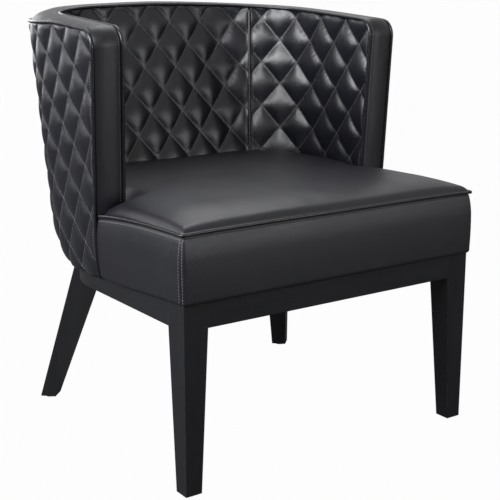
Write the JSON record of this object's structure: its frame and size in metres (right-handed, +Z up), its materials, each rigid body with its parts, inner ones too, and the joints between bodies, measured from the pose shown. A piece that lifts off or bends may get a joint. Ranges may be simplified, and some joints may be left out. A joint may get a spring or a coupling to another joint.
{
  "type": "accent chair",
  "caption": "Upholstered tub-back accent chair with diamond-quilted back and arms, a plain crowned seat, piped edges and a tapered black wood base.",
  "frame": {"origin": "middle of the bounding box in plan, on the floor under the foot glides", "axes": "+Z up, +Y from the seat front to the back, +X to the right as seen from the front"},
  "size_m": [0.6562, 0.67, 0.767],
  "materials": {
    "black_leather": "satin",
    "welt_leather": "semi-gloss",
    "black_wood": "satin black paint over wood",
    "plywood": "raw",
    "foam": "matte",
    "steel": "zinc plated",
    "glide_plastic": "matte",
    "dust_cloth": "matte"
  },
  "bodies": {
    "root": {"front_leg_left": "black_wood", "front_leg_right": "black_wood", "rear_leg_left": "black_wood", "rear_leg_right": "black_wood", "foot_glides": "glide_plastic", "front_rail": "black_wood", "side_rail_left": "black_wood", "side_rail_right": "black_wood", "rear_rail": "black_wood", "front_corner_blocks": "plywood", "rear_corner_blocks": "plywood", "leg_bolts": "steel", "seat_panel": "plywood", "base_ring": "plywood", "arm_post_left": "plywood", "arm_post_right": "plywood", "back_posts": "plywood", "top_hoop_left": "plywood", "top_hoop_back": "plywood", "top_hoop_right": "plywood", "dust_cover": "dust_cloth", "seat_core": "foam", "seat_cushion": "black_leather", "seat_band_front": "black_leather", "seat_band_left": "black_leather", "seat_band_right": "black_leather", "seat_welt": "welt_leather", "inner_back": "black_leather", "inner_wing_left": "black_leather", "inner_wing_right": "black_leather", "outer_back": "black_leather", "outer_side_left": "black_leather", "outer_side_right": "black_leather", "border_band": "black_leather", "inner_welt": "welt_leather", "outer_welt": "welt_leather", "back_seam_left": "welt_leather", "back_seam_right": "welt_leather"}
  },
  "joints": []
}
